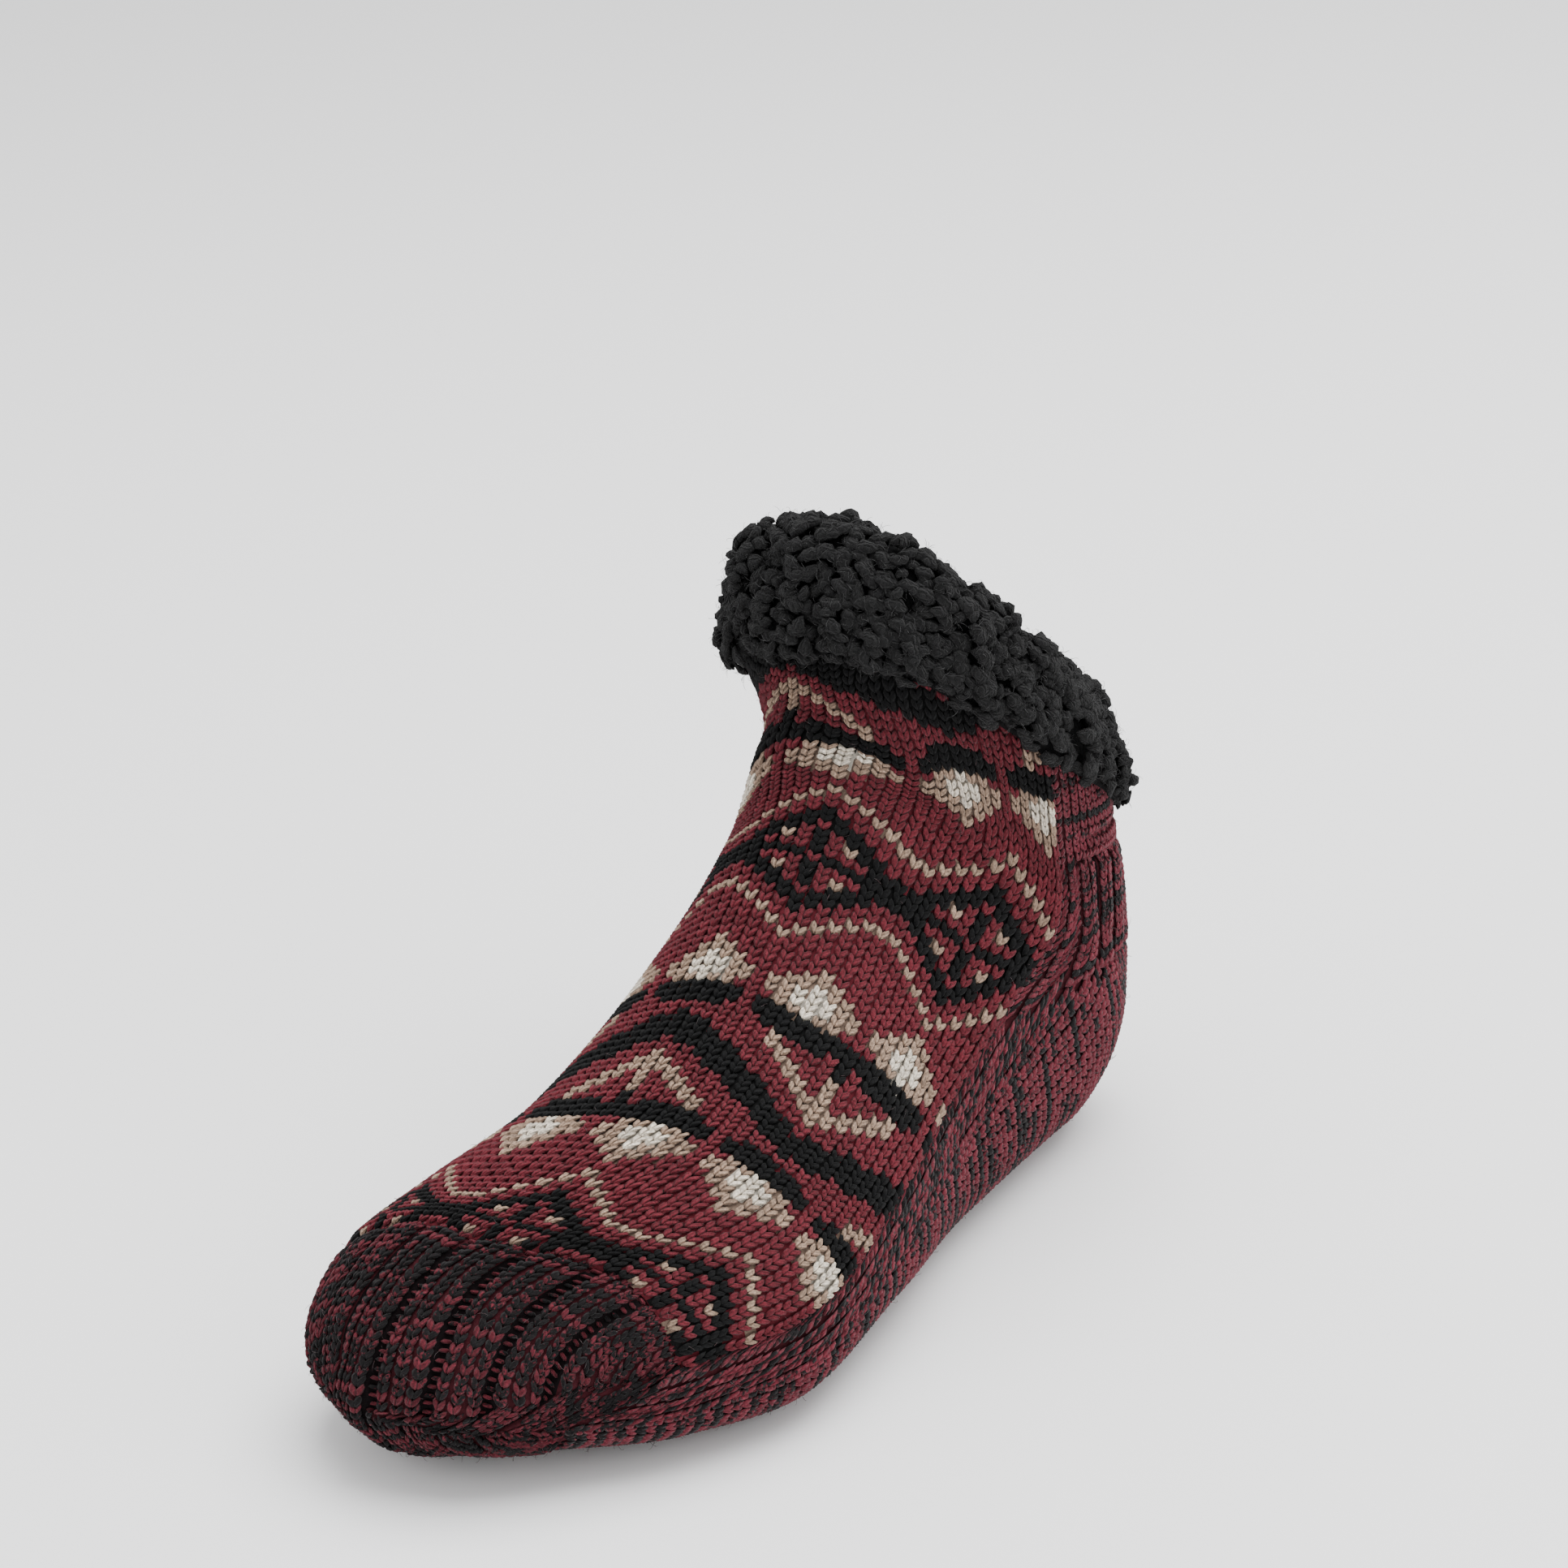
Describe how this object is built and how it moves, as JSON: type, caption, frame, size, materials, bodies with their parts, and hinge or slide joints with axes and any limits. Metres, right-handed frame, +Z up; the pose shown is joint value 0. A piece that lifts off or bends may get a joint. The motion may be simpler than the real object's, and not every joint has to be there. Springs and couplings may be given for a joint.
{
  "type": "slipper sock",
  "caption": "Knitted slipper sock for a left foot, with a patterned instep, ribbed marled toe and heel, plain marled sole and a deep black sherpa cuff.",
  "frame": {"origin": "on the floor under the middle of the whole sock's box", "axes": "+Z up from the floor, -Y towards the toe, +X towards the wearer's left, the outer side of this left foot"},
  "size_m": [0.125, 0.2862, 0.2169],
  "materials": {
    "pattern_knit": "chunky patterned knit, maroon with black, tan and cream",
    "marl_knit": "marled maroon and black knit",
    "sherpa": "black curly pile",
    "fleece": "charcoal fleece"
  },
  "bodies": {
    "root": {"upper": "pattern_knit", "toe_cap": "marl_knit", "sole": "marl_knit", "heel_cup": "marl_knit", "back_panel": "marl_knit", "cuff": "sherpa", "insole": "fleece"}
  },
  "joints": []
}
